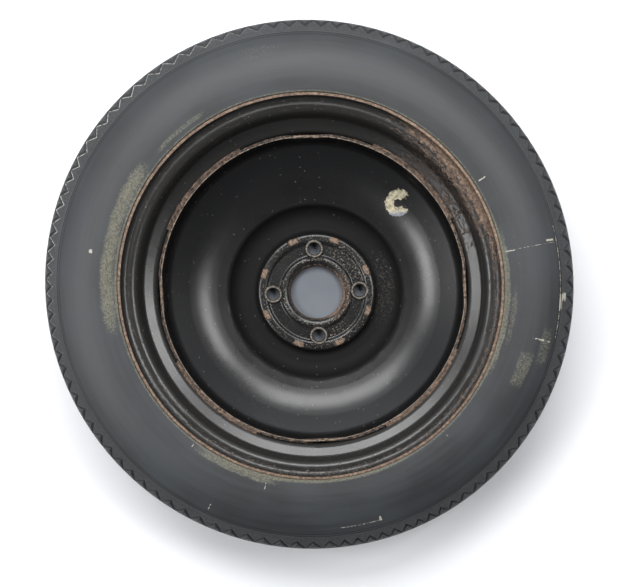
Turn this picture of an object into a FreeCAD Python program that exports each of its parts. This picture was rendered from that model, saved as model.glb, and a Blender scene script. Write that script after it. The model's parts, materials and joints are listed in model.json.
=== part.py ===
import FreeCAD, Part
import math
import os
import re

import Sketcher
from FreeCAD import Placement, Rotation, Vector

# Space saver spare wheel lying on its outboard side.
# The origin is the centre of the hub bore on the mounting face, and +Z points inboard, to the hub.
# Millimetres. Heights in the rim and the tyre are taken from the rim's mid-plane.

SIZES = {
    # Rim, rolled from one strip. The bead seat and flange faces are the standard rim sizes.
    "rim_width": 101.6,
    "seat_radius": 202.8,
    "rim_sheet": 3.0,
    "flange_height": 17.5,
    "flange_curl": 9.5,
    "lip_overhang": 10.5,
    "heel_round": 6.5,
    "seat_width": 16.5,
    "seat_drop": 1.44,
    "hump_rise": 1.34,
    "hump_run": 3.3,
    "hump_round": 5.0,
    "hump_foot_round": 3.0,
    "shoulder_drop": 2.6,
    "shoulder_height": 25.8,
    "shoulder_round": 7.0,
    "well_depth": 17.4,
    "well_inboard_edge": 19.5,
    "well_outboard_edge": 7.5,
    "well_round": 6.0,
    # Wheel disc, pressed from one sheet.
    "offset": 50.0,
    "disc_sheet": 3.5,
    "bore_radius": 32.55,
    "bore_lip": 12.0,
    "bore_roll": 8.0,
    "crest_width": 10.4,
    "crest_flat": 1.9,
    "crest_flat_depth": 1.5,
    "channel_depth": 2.6,
    "channel_run": 3.0,
    "channel_round": 3.0,
    "land_round": 4.0,
    "pad_radius": 72.3,
    "pad_land": 9.3,
    "pad_taper": 4.2,
    "pad_round": 5.5,
    "crown_depth": 8.5,
    "crown_width": 23.5,
    "crown_round": 8.0,
    "crown_wall_round": 20.0,
    "crease_run": 7.5,
    "crease_height": 6.2,
    "crease_round": 6.0,
    "bowl_waist_run": 31.0,
    "bowl_waist_height": 12.0,
    "bowl_round": 90.0,
    "knee_height": 38.0,
    "knee_round": 14.0,
    "skirt_overlap": 1.5,
    "relief_depth": 2.0,
    "relief_root": 3.0,
    "relief_rise": 1.0,
    "disc_turn": 2.6,
    # Bolt holes, with a raised collar inboard and a drawn conical nut seat outboard.
    "bolt_circle_radius": 54.0,
    "bolt_count": 4,
    "bolt_hole_radius": 7.5,
    "collar_radius": 11.5,
    "seat_boss_radius": 14.0,
    "seat_boss_taper": 2.0,
    "seat_boss_height": 2.6,
    "nut_seat_radius": 10.2,
    # Welds that join the skirt to the well.
    "weld_angle": 40.0,
    "weld_leg": 4.6,
    "weld_root": 3.9,
    "weld_throat": 1.6,
    # Tyre, one moulding. A share is a part of the section's half width.
    "tread_radius": 309.4,
    "section_half": 63.6,
    "lip_gap": 0.6,
    "lip_corner_round": 1.1,
    "toe_setback": 1.2,
    "toe_round": 0.8,
    "sidewall_apex": 55.2,
    "sidewall_bow": 4.4,
    "sidewall_round": 100.0,
    "ridge_drop": 18.6,
    "ridge_share": 0.7956,
    "ridge_step": 1.0,
    "ridge_round": 0.5,
    "shoulder_edge_drop": 1.6,
    "shoulder_edge_share": 0.5346,
    "shoulder_bevel_drop": 4.6,
    "shoulder_bevel_share": 0.6195,
    "crown_flat_share": 0.3459,
    "crown_bend_share": 1.2,
    "rib_groove_share": 0.2013,
    "rib_groove_width_share": 0.1006,
    "rib_groove_depth": 4.6,
    "rib_groove_draft": 0.8,
    "tread_thickness": 11.0,
    "sidewall_thickness": 8.6,
    "bead_run": 10.0,
    "bead_rise": 3.2,
    "bead_hollow_round": 25.0,
    "lower_wall_run": 29.0,
    "lower_wall_round": 30.0,
    "upper_wall_run": 10.0,
    "upper_wall_rise": 3.5,
    "upper_wall_round": 45.0,
    "inner_shoulder_setback": 1.4,
    "inner_shoulder_round": 22.0,
    # Zigzag groove on each shoulder of the tread.
    "zigzag_share": 0.6368,
    "zigzag_width": 4.2,
    "zigzag_swing": 3.2,
    "zigzag_depth": 4.0,
    # Snap-in valve, measured along its own axis from the outer skin of the rim.
    "valve_hole_radius": 5.7,
    "stem_head_radius": 9.4,
    "stem_head_tip_radius": 6.6,
    "stem_head_height": 8.5,
    "stem_head_rim": 1.6,
    "stem_bulb_radius": 7.6,
    "stem_bulb_length": 2.2,
    "stem_taper_length": 8.0,
    "stem_waist_radius": 5.6,
    "stem_tip_radius": 5.0,
    "stem_length": 24.0,
    "stem_mouth_radius": 2.6,
    "tube_radius": 3.2,
    "tube_start": 7.0,
    "thread_radius": 3.85,
    "valve_length": 33.0,
    "thread_chamfer": 0.6,
    "tube_bore_radius": 2.1,
    "core_thread_radius": 2.6,
    "core_thread_play": 0.05,
    "core_seat_start": 19.5,
    "core_seat_length": 4.5,
    # Valve core: threaded body, gasket, spring, and the pin with its seal.
    "core_start": 12.0,
    "core_barrel_radius": 1.6,
    "core_plug_start": 26.5,
    "core_plug_length": 5.0,
    "core_floor": 1.2,
    "core_roof": 1.5,
    "spring_room_radius": 1.35,
    "pin_radius": 0.65,
    "pin_play": 0.1,
    "pin_recess": 0.6,
    "pin_collar_radius": 1.2,
    "pin_collar_length": 0.8,
    "pin_collar_gap": 0.6,
    "pin_cup_radius": 1.75,
    "pin_cup_length": 1.8,
    "seal_thickness": 0.6,
    "gasket_length": 3.0,
    "gasket_play": 0.02,
    "spring_wire_radius": 0.14,
    "spring_turns": 6,
    "spring_play": 0.06,
    # Screw cap with a rubber washer.
    "cap_play": 0.1,
    "cap_wall": 1.1,
    "cap_crown": 1.6,
    "cap_clear": 0.8,
    "cap_round": 1.4,
    "cap_grip_radius": 0.5,
    "cap_grip_count": 12,
    "cap_seal_thickness": 1.2,
    "cap_seal_hole": 1.6,
}

# Teeth of the zigzag in groups of one pitch, counter-clockwise from the left of the first tooth:
# how many, and their pitch in degrees before the round is closed.
TOOTH_GROUPS = (
    (13, 3.90), (16, 3.00), (9, 3.40), (12, 3.75), (10, 2.90), (7, 3.60), (38, 3.42),
)
FIRST_TOOTH_ANGLE = 100.0

doc = FreeCAD.newDocument("spare_wheel")
sheet = doc.addObject("Spreadsheet::Sheet", "sizes")
for row, (alias, size) in enumerate(SIZES.items(), start=1):
    sheet.set(f"A{row}", alias)
    sheet.set(f"B{row}", str(size))
    sheet.setAlias(f"B{row}", alias)
doc.recompute()


def bound(text):
    """Turns the size names in an expression into references to the sheet."""
    return re.sub(r"[a-z_]+", lambda word: "sizes." + word[0] if word[0] in SIZES else word[0], text)


def value(text):
    """Works an expression out from the sheet."""
    return float(sheet.evalExpression(bound(text)))


# Places that more than one piece uses, as expressions.

RIM_HALF = "(rim_width / 2)"
LIP_HEIGHT = f"({RIM_HALF} + lip_overhang)"
FLANGE_RADIUS = "(seat_radius + flange_height)"
WELL_RADIUS = "(seat_radius - well_depth)"
SHOULDER_RADIUS = "(seat_radius - shoulder_drop)"
SKIRT_RADIUS = f"({WELL_RADIUS} - rim_sheet)"
SKIRT_INNER_RADIUS = f"({SKIRT_RADIUS} - disc_sheet)"
SKIRT_TOP = "(offset + well_inboard_edge + skirt_overlap)"
SEAT_END_HEIGHT = f"({RIM_HALF} - seat_width)"
HUMP_HEIGHT = f"({SEAT_END_HEIGHT} - hump_run)"
OUTBOARD_SHOULDER_HEIGHT = "(well_outboard_edge + well_depth - shoulder_drop)"
TYRE_LIP_RADIUS = f"({FLANGE_RADIUS} + lip_gap)"
CREST_RADIUS = "(bore_radius + crest_width)"
VALVE_RADIUS = "(seat_radius - (well_depth + shoulder_drop) / 2)"
VALVE_HEIGHT = "(offset - well_outboard_edge - (well_depth - shoulder_drop) / 2)"


def new_body(label):
    """A body whose label is its node's name."""
    body = doc.addObject("PartDesign::Body", label)
    body.Label = label
    return body


def origin_plane(body, role):
    """One of the body's own origin planes or axes."""
    return next(item for item in body.Origin.OriginFeatures if item.Role == role)


def new_sketch(body, name, role="XZ_Plane"):
    """A sketch that lies on an origin plane of its body."""
    sketch = body.newObject("Sketcher::SketchObject", name)
    sketch.AttachmentSupport = (origin_plane(body, role), [""])
    sketch.MapMode = "FlatFace"
    return sketch


def arc_at(before, corner, after, radius):
    """The arc that rounds a corner, and which of its ends the outline meets first."""
    back = (before - corner).normalize()
    ahead = (after - corner).normalize()
    half = back.getAngle(ahead) / 2
    centre = corner + (back + ahead).normalize() * (radius / math.sin(half))
    entry = corner + back * (radius / math.tan(half)) - centre
    leave = corner + ahead * (radius / math.tan(half)) - centre
    turns_left = back.cross(ahead).z < 0
    first, last = (entry, leave) if turns_left else (leave, entry)
    circle = Part.Circle(centre, Vector(0, 0, 1), radius)
    arc = Part.ArcOfCircle(circle, math.atan2(first.y, first.x), math.atan2(last.y, last.x))
    ends = (1, 2) if turns_left else (2, 1)
    return arc, ends, centre + entry, centre + leave


class Outline:
    """Draws lines and tangent arcs in a sketch and binds their corners and radii to the sheet."""

    def __init__(self, sketch):
        self.sketch = sketch
        self.constraints = []
        self.bindings = []

    def limit(self, *parts):
        """Adds a plain geometric constraint."""
        self.constraints.append(Sketcher.Constraint(*parts))

    def size(self, expression, kind, *parts):
        """Adds a constraint whose value follows an expression."""
        self.bindings.append((len(self.constraints), bound(expression)))
        self.constraints.append(Sketcher.Constraint(kind, *parts, value(expression)))

    def place(self, item, end, across, up):
        """Fixes a point by its two distances from the sketch's axes."""
        for expression, kind, axis in ((across, "DistanceX", -2), (up, "DistanceY", -1)):
            if expression == "0":
                self.limit("PointOnObject", item, end, axis)
            else:
                self.size(expression, kind, -1, 1, item, end)

    def chain(self, corners, closed):
        """Draws the run of corners. Returns the lines and the arcs, None where a corner is sharp."""
        points = [Vector(value(c[0]), value(c[1]), 0) for c in corners]
        radii = [c[2] if len(c) > 2 else None for c in corners]
        count = len(points)
        arcs = [None] * count
        starts, stops = list(points), list(points)
        for i, radius in enumerate(radii):
            if radius:
                arc, ends, stops[i], starts[i] = arc_at(
                    points[i - 1], points[i], points[(i + 1) % count], value(radius)
                )
                arcs[i] = (self.sketch.addGeometry(arc, False), ends)
        lines = []
        for i in range(count if closed else count - 1):
            line = Part.LineSegment(starts[i], stops[(i + 1) % count])
            lines.append(self.sketch.addGeometry(line, False))
        for i, corner in enumerate(corners):
            before = lines[i - 1] if closed or i else None
            after = lines[i] if i < len(lines) else None
            if arcs[i]:
                arc, ends = arcs[i]
                tip = self.sketch.addGeometry(Part.Point(points[i]), True)
                self.limit("Tangent", before, 2, arc, ends[0])
                self.limit("Tangent", arc, ends[1], after, 1)
                self.limit("PointOnObject", tip, 1, before)
                self.limit("PointOnObject", tip, 1, after)
                self.size(radii[i], "Radius", arc)
                self.place(tip, 1, corner[0], corner[1])
            elif after is None:
                self.place(before, 2, corner[0], corner[1])
            else:
                if before is not None:
                    self.limit("Coincident", before, 2, after, 1)
                self.place(after, 1, corner[0], corner[1])
        return lines, arcs

    def closed(self, corners):
        """A closed outline."""
        self.chain(corners, True)
        self.finish()

    def strip(self, corners, thickness):
        """A sheet's section: the run of corners is one skin, and the other lies to its right."""
        lines, arcs = self.chain(corners, False)
        points = [Vector(value(c[0]), value(c[1]), 0) for c in corners]
        depth = value(thickness)
        second_arcs, spans = [], []

        def shifted(i, j, point):
            """The point moved square to the run from corner i to corner j, to its right."""
            run = (points[j] - points[i]).normalize()
            return point + Vector(run.y, -run.x, 0) * depth

        spans.append(shifted(0, 1, points[0]))
        for i in range(1, len(corners) - 1):
            arc, ends, stop, start = arc_at(points[i - 1], points[i], points[i + 1], value(corners[i][2]))
            sign = "+" if ends == (1, 2) else "-"
            radius = f"({corners[i][2]} {sign} {thickness})"
            circle = Part.Circle(arc.Center, Vector(0, 0, 1), value(radius))
            second = self.sketch.addGeometry(
                Part.ArcOfCircle(circle, arc.FirstParameter, arc.LastParameter), False
            )
            self.limit("Coincident", second, 3, arcs[i][0], 3)
            self.size(radius, "Radius", second)
            second_arcs.append((second, ends))
            spans += [shifted(i - 1, i, stop), shifted(i, i + 1, start)]
        spans.append(shifted(-2, -1, points[-1]))
        skins = [
            self.sketch.addGeometry(Part.LineSegment(spans[i], spans[i + 1]), False)
            for i in range(0, len(spans), 2)
        ]
        for (second, ends), before, after in zip(second_arcs, skins, skins[1:]):
            self.limit("Tangent", before, 2, second, ends[0])
            self.limit("Tangent", second, ends[1], after, 1)
        for point, skin_point, line, end, skin in (
            (points[0], spans[0], lines[0], 1, skins[0]),
            (points[-1], spans[-1], lines[-1], 2, skins[-1]),
        ):
            edge = self.sketch.addGeometry(Part.LineSegment(point, skin_point), False)
            self.limit("Coincident", edge, 1, line, end)
            self.limit("Coincident", edge, 2, skin, end)
            self.limit("Perpendicular", edge, line)
            self.limit("Parallel", skin, line)
        self.finish()

    def finish(self):
        """Hands the constraints to the sketch and binds the sized ones."""
        first = self.sketch.ConstraintCount
        self.sketch.addConstraint(self.constraints)
        for number, (index, expression) in enumerate(self.bindings):
            name = f"size_{number}"
            self.sketch.renameConstraint(first + index, name)
            self.sketch.setExpression(f"Constraints.{name}", expression)


def turned(body, name, corners, cut=False):
    """Revolves a closed outline about the body's Z axis, as material or as a cut."""
    sketch = new_sketch(body, name + "_section")
    Outline(sketch).closed(corners)
    return revolve(body, name, sketch, (sketch, ["V_Axis"]), cut)


def revolve(body, name, sketch, axis, cut=False):
    """Revolves a sketch once round an axis."""
    feature = body.newObject("PartDesign::Groove" if cut else "PartDesign::Revolution", name)
    feature.Profile = sketch
    feature.ReferenceAxis = axis
    feature.Angle = 360
    return feature


def rectangle(left, right, low, high):
    """The four corners of an upright rectangle."""
    return [(left, low), (right, low), (right, high), (left, high)]


def around(body, name, features, count):
    """Repeats features evenly about the body's Z axis and makes them the body's result."""
    pattern = body.newObject("PartDesign::PolarPattern", name)
    pattern.Originals = features
    pattern.Axis = (origin_plane(body, "Z_Axis"), [""])
    pattern.Angle = 360
    pattern.setExpression("Occurrences", bound(count))
    body.Tip = pattern
    return pattern


def raise_to_offset(item):
    """Lifts a piece that is drawn about the rim's mid-plane to where the rim lies."""
    item.setExpression("Placement.Base.z", bound("offset"))


def mirrored(corners):
    """The corners reflected in the mid-plane, in the opposite order."""
    return [(c[0], f"-{c[1]}", *c[2:]) for c in reversed(corners)]


def make_rim():
    """The rolled rim: flanges, tapered bead seats, humps and the drop-centre well."""
    body = new_body("rim")
    inboard = [
        (FLANGE_RADIUS, LIP_HEIGHT),
        (FLANGE_RADIUS, RIM_HALF, "flange_curl"),
        ("seat_radius", RIM_HALF, "heel_round"),
        ("(seat_radius - seat_drop)", SEAT_END_HEIGHT, "hump_foot_round"),
        ("(seat_radius - seat_drop + hump_rise)", HUMP_HEIGHT, "hump_round"),
    ]
    well = [
        (SHOULDER_RADIUS, "shoulder_height", "shoulder_round"),
        (WELL_RADIUS, "well_inboard_edge", "well_round"),
        (WELL_RADIUS, "-well_outboard_edge", "well_round"),
        (SHOULDER_RADIUS, f"-{OUTBOARD_SHOULDER_HEIGHT}", "shoulder_round"),
    ]
    sketch = new_sketch(body, "rim_section")
    Outline(sketch).strip(inboard + well + mirrored(inboard), "rim_sheet")
    revolve(body, "rolled_strip", sketch, (sketch, ["V_Axis"]))
    raise_to_offset(body)
    return body


def make_valve_hole(rim):
    """Cuts the round valve hole square through the outboard slope of the well."""
    cutter = doc.addObject("Part::Cylinder", "valve_hole")
    cutter.setExpression("Radius", bound("valve_hole_radius"))
    cutter.setExpression("Height", bound("4 * rim_sheet"))
    place_on_valve(cutter, "-rim_sheet * 1.5")
    return part_cut("rim", rim, cutter)


def place_on_valve(item, along="0"):
    """Stands a piece on the valve's axis, which points outboard and towards the wheel's axis."""
    item.Placement = Placement(Vector(), Rotation(Vector(0, 1, 0), 225))
    item.setExpression("Placement.Base.x", bound(f"{VALVE_RADIUS} - ({along}) * sqrt(0.5)"))
    item.setExpression("Placement.Base.z", bound(f"{VALVE_HEIGHT} - ({along}) * sqrt(0.5)"))


def part_cut(label, base, tool):
    """One solid less another, under a label of its own."""
    result = doc.addObject("Part::Cut", label + "_cut")
    result.Base = base
    result.Tool = tool
    base.Label = label + "_before_" + tool.Name
    result.Label = label
    return result


def make_disc():
    """The pressed disc: hub pad, deep crown ring, bowl and the skirt that sits in the well."""
    body = new_body("wheel_disc")
    crown_inner = "(pad_radius + pad_taper)"
    crown_outer = f"({crown_inner} + crown_width)"
    crease = f"({crown_outer} + crease_run)"
    land_inner = "(pad_radius - pad_land)"
    inboard_skin = [
        ("bore_radius", "-bore_lip"),
        ("bore_radius", "0", "bore_roll"),
        (CREST_RADIUS, "0", "land_round"),
        (f"({CREST_RADIUS} + channel_run)", "-channel_depth", "channel_round"),
        (f"({land_inner} - channel_run)", "-channel_depth", "channel_round"),
        (land_inner, "0", "land_round"),
        ("pad_radius", "0", "pad_round"),
        (crown_inner, "-crown_depth", "crown_round"),
        (crown_outer, "-crown_depth", "crown_wall_round"),
        (crease, "crease_height", "crease_round"),
        (f"({crease} + bowl_waist_run)", "bowl_waist_height", "bowl_round"),
        (SKIRT_INNER_RADIUS, "knee_height", "knee_round"),
        (SKIRT_INNER_RADIUS, SKIRT_TOP),
    ]
    sketch = new_sketch(body, "disc_section")
    Outline(sketch).strip(inboard_skin, "disc_sheet")
    revolve(body, "pressed_sheet", sketch, (sketch, ["V_Axis"]))
    make_crest_flats(body)
    make_bolt_holes(body)
    make_skirt_reliefs(body)
    body.setExpression("Placement.Rotation.Angle", bound("disc_turn"))
    return body


def make_crest_flats(body):
    """Flats on the crest round the bore, one beside each bolt hole."""
    near = f"({CREST_RADIUS} - crest_flat)"
    far = f"({CREST_RADIUS} + channel_run)"
    flat = pad_block(body, "crest_flat_cut", near, far, f"sqrt({far} ^ 2 - {near} ^ 2)",
                     "-crest_flat_depth", "crest_flat_depth", cut=True)
    around(body, "crest_flat_cuts", [flat], "bolt_count")


def bolt_turned(body, name, corners, cut=False):
    """Revolves an outline about the first bolt hole's axis. Distances across are from that axis."""
    sketch = new_sketch(body, name + "_section")
    outline = Outline(sketch)
    shifted = [(f"(bolt_circle_radius + {c[0]})", *c[1:]) for c in corners]
    outline.closed(shifted)
    centre = value("bolt_circle_radius")
    axis = sketch.addGeometry(Part.LineSegment(Vector(centre, -centre, 0), Vector(centre, centre, 0)), True)
    sketch.addConstraint(Sketcher.Constraint("Vertical", axis))
    number = sketch.addConstraint(Sketcher.Constraint("DistanceX", -1, 1, axis, 1, centre))
    sketch.renameConstraint(number, "bolt_axis")
    sketch.setExpression("Constraints.bolt_axis", bound("bolt_circle_radius"))
    return revolve(body, name, sketch, (sketch, ["Axis0"]), cut)


def make_bolt_holes(body):
    """Collars, drawn seat bosses and the holes with their conical nut seats."""
    sheet_back = "-(channel_depth + disc_sheet)"
    boss_back = "-(channel_depth + disc_sheet + seat_boss_height)"
    seat_run = "(nut_seat_radius - bolt_hole_radius) * sqrt(3)"
    collar = bolt_turned(body, "bolt_collar", [
        ("0", sheet_back),
        ("collar_radius", sheet_back),
        ("collar_radius", "0"),
        ("0", "0"),
    ])
    boss = bolt_turned(body, "seat_boss", [
        ("0", boss_back),
        ("(seat_boss_radius - seat_boss_taper)", boss_back),
        ("seat_boss_radius", "-(channel_depth + disc_sheet / 2)"),
        ("0", "-(channel_depth + disc_sheet / 2)"),
    ])
    hole = bolt_turned(body, "bolt_hole", [
        ("0", f"{boss_back} - 1"),
        ("nut_seat_radius", f"{boss_back} - 1"),
        ("nut_seat_radius", boss_back),
        ("bolt_hole_radius", f"{boss_back} + {seat_run}"),
        ("bolt_hole_radius", "1"),
        ("0", "1"),
    ], cut=True)
    around(body, "bolt_holes", [collar, boss, hole], "bolt_count")


def make_skirt_reliefs(body):
    """Four places, in line with the bolt holes, where the skirt runs straight and clears the rim."""
    flat_outer = f"({SKIRT_RADIUS} - relief_depth)"
    flat_inner = f"({flat_outer} - disc_sheet)"
    half_flat = f"sqrt({SKIRT_RADIUS} ^ 2 - {flat_outer} ^ 2)"
    wall = pad_block(body, "relief_wall", flat_inner, flat_outer, f"({half_flat} - disc_sheet / 2)",
                     "(knee_height - relief_root)", SKIRT_TOP)
    gap = pad_block(body, "relief_gap", flat_outer, f"({SKIRT_RADIUS} + disc_sheet)",
                    f"({half_flat} + disc_sheet / 2)", "(knee_height + relief_rise)",
                    f"({SKIRT_TOP} + disc_sheet)", cut=True)
    around(body, "skirt_reliefs", [wall, gap], "bolt_count")


def pad_block(body, name, near, far, half_width, low, high, cut=False):
    """An upright block across the body's X axis, as material or as a cut."""
    sketch = new_sketch(body, name + "_section")
    Outline(sketch).closed(rectangle(near, far, low, high))
    feature = body.newObject("PartDesign::Pocket" if cut else "PartDesign::Pad", name)
    feature.Profile = sketch
    feature.Midplane = True
    feature.setExpression("Length", bound(f"2 * {half_width}"))
    return feature


def make_welds(rim, disc):
    """Four fillet welds between the reliefs, from the skirt's edge to the well."""
    body = new_body("disc_welds")
    corners = [
        (f"({SKIRT_RADIUS} - disc_sheet * 0.6)", SKIRT_TOP),
        (f"({SKIRT_RADIUS} - disc_sheet * 0.3)", f"({SKIRT_TOP} - weld_root)"),
        (f"({SKIRT_RADIUS} + rim_sheet * 0.3)", f"({SKIRT_TOP} - weld_root)"),
        (f"({SKIRT_RADIUS} + weld_leg)", SKIRT_TOP),
        (f"({SKIRT_RADIUS} + weld_leg * 0.2)", f"({SKIRT_TOP} + weld_throat)", "weld_throat"),
    ]
    sketch = new_sketch(body, "weld_section")
    Outline(sketch).closed(corners)
    bead = revolve(body, "weld_bead", sketch, (sketch, ["V_Axis"]))
    bead.Midplane = True
    bead.setExpression("Angle", bound("weld_angle"))
    around(body, "weld_beads", [bead], "bolt_count")
    body.setExpression("Placement.Rotation.Angle", bound("disc_turn + 180 / bolt_count"))
    return part_cut("disc_welds", part_cut("disc_welds", body, rim), disc)


def tooth_angles():
    """Station angles of the zigzag in degrees, two to a tooth, once round."""
    pitches = [pitch for count, pitch in TOOTH_GROUPS for _ in range(count)]
    closing = 360 / sum(pitches)
    angles, angle = [], FIRST_TOOTH_ANGLE
    for pitch in pitches:
        angles += [angle, angle + pitch * closing / 2]
        angle += pitch * closing
    return angles


def zigzag_ring(inner, outer, height, half_width, swing):
    """A closed ring whose two sides zigzag up and down. All its faces are flat."""

    def station(index, angle):
        swung = swing if index % 2 else -swing
        ray = Vector(math.cos(math.radians(angle)), math.sin(math.radians(angle)), 0)
        return [
            ray * radius + Vector(0, 0, height + side * half_width + swung * radius / inner)
            for radius, side in ((inner, -1), (outer, -1), (outer, 1), (inner, 1))
        ]

    stations = [station(i, angle) for i, angle in enumerate(tooth_angles())]
    faces = []
    for here, there in zip(stations, stations[1:] + stations[:1]):
        for a, b in ((0, 1), (1, 2), (2, 3), (3, 0)):
            wire = Part.makePolygon([here[a], here[b], there[b], there[a], here[a]])
            faces.append(Part.Face(wire))
    shell = Part.Shell(faces)
    shell.sewShape()
    solid = Part.Solid(shell)
    if solid.Volume < 0:
        solid.reverse()
    return solid


def make_tyre():
    """The tyre: beads on their seats, rounded sidewalls, ribbed tread and zigzag shoulders."""
    body = new_body("tyre_half")
    ridge = ("(tread_radius - ridge_drop)", "(section_half * ridge_share)")
    edge = ("(tread_radius - shoulder_edge_drop)", "(section_half * shoulder_edge_share)")
    bevel = ("(tread_radius - shoulder_bevel_drop)", "(section_half * shoulder_bevel_share)")
    toe = f"({SEAT_END_HEIGHT} + toe_setback)"
    toe_radius = "(seat_radius - seat_drop + seat_drop * toe_setback / seat_width)"
    groove_near = "(section_half * (rib_groove_share - rib_groove_width_share / 2))"
    groove_far = "(section_half * (rib_groove_share + rib_groove_width_share / 2))"
    groove_floor = "(tread_radius - rib_groove_depth)"
    apex_radius = "(seat_radius + sidewall_apex)"
    inner_crown = "(tread_radius - tread_thickness)"
    liner = "(section_half - sidewall_thickness)"
    tread = [
        ("tread_radius", "0"),
        ("tread_radius", groove_near),
        (groove_floor, f"({groove_near} + rib_groove_draft)"),
        (groove_floor, f"({groove_far} - rib_groove_draft)"),
        ("tread_radius", groove_far),
        ("tread_radius", "(section_half * crown_flat_share)", "(section_half * crown_bend_share)"),
        edge,
        bevel,
    ]
    sidewall = [
        (*ridge, "ridge_round"),
        (f"({ridge[0]} - ridge_step * 0.6)", f"({ridge[1]} + ridge_step)", "ridge_round"),
        (apex_radius, "(section_half + sidewall_bow)", "sidewall_round"),
    ]
    bead = [
        (TYRE_LIP_RADIUS, LIP_HEIGHT, "lip_corner_round"),
        (TYRE_LIP_RADIUS, RIM_HALF, "flange_curl"),
        ("seat_radius", RIM_HALF, "heel_round"),
        (toe_radius, toe, "toe_round"),
    ]
    lining = [
        ("(seat_radius + bead_run)", f"({toe} + bead_rise)", "bead_hollow_round"),
        ("(seat_radius + lower_wall_run)", liner, "lower_wall_round"),
        (f"({apex_radius} + upper_wall_run)", f"({liner} + upper_wall_rise)", "upper_wall_round"),
        (inner_crown, f"({bevel[1]} - inner_shoulder_setback)", "inner_shoulder_round"),
        (inner_crown, "0"),
    ]
    turned(body, "half_moulding", tread + sidewall + bead + lining)

    depth = value("zigzag_depth")
    ring = doc.addObject("Part::Feature", "zigzag_ring")
    ring.Shape = zigzag_ring(
        value(ridge[0]) - 3 * depth, value("tread_radius") + depth, value("section_half * zigzag_share"),
        value("zigzag_width") / 2, value("zigzag_swing"),
    )
    band = doc.addObject("Part::Feature", "groove_band")
    band.Shape = groove_band([Vector(value(r), 0, value(z)) for r, z in (edge, bevel, ridge)], depth)
    groove = doc.addObject("Part::Common", "shoulder_groove")
    groove.Base = ring
    groove.Tool = band
    inboard = part_cut("inboard_half", body, groove)
    outboard = doc.addObject("Part::Mirroring", "outboard_half")
    outboard.Source = inboard
    outboard.Normal = Vector(0, 0, 1)
    tyre = doc.addObject("Part::Fuse", "tyre")
    tyre.Base = inboard
    tyre.Tool = outboard
    raise_to_offset(tyre)
    return tyre


def groove_band(surface, depth):
    """The ring between the shoulder's surface and the groove floor, which lies evenly below it."""
    edge, bevel, ridge = surface
    runs = [(bevel - edge).normalize(), (ridge - bevel).normalize()]
    outs = [Vector(run.z, 0, -run.x) for run in runs]
    mitre = (outs[0] + outs[1]).normalize() / math.cos(outs[0].getAngle(outs[1]) / 2)
    points = [
        edge - outs[0] * depth - runs[0] * depth,
        bevel - mitre * depth,
        ridge - outs[1] * depth + runs[1] * depth,
        ridge + (outs[1] + runs[1]) * depth,
        bevel + mitre * (3 * depth),
        edge + outs[0] * (3 * depth) - runs[0] * depth,
    ]
    section = Part.Face(Part.makePolygon(points + points[:1]))
    return section.revolve(Vector(), Vector(0, 0, 1), 360)


def valve_piece(label, corners):
    """A turned piece of the valve, on the valve's axis."""
    body = new_body(label)
    turned(body, label + "_turning", corners)
    place_on_valve(body)
    return body


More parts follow.
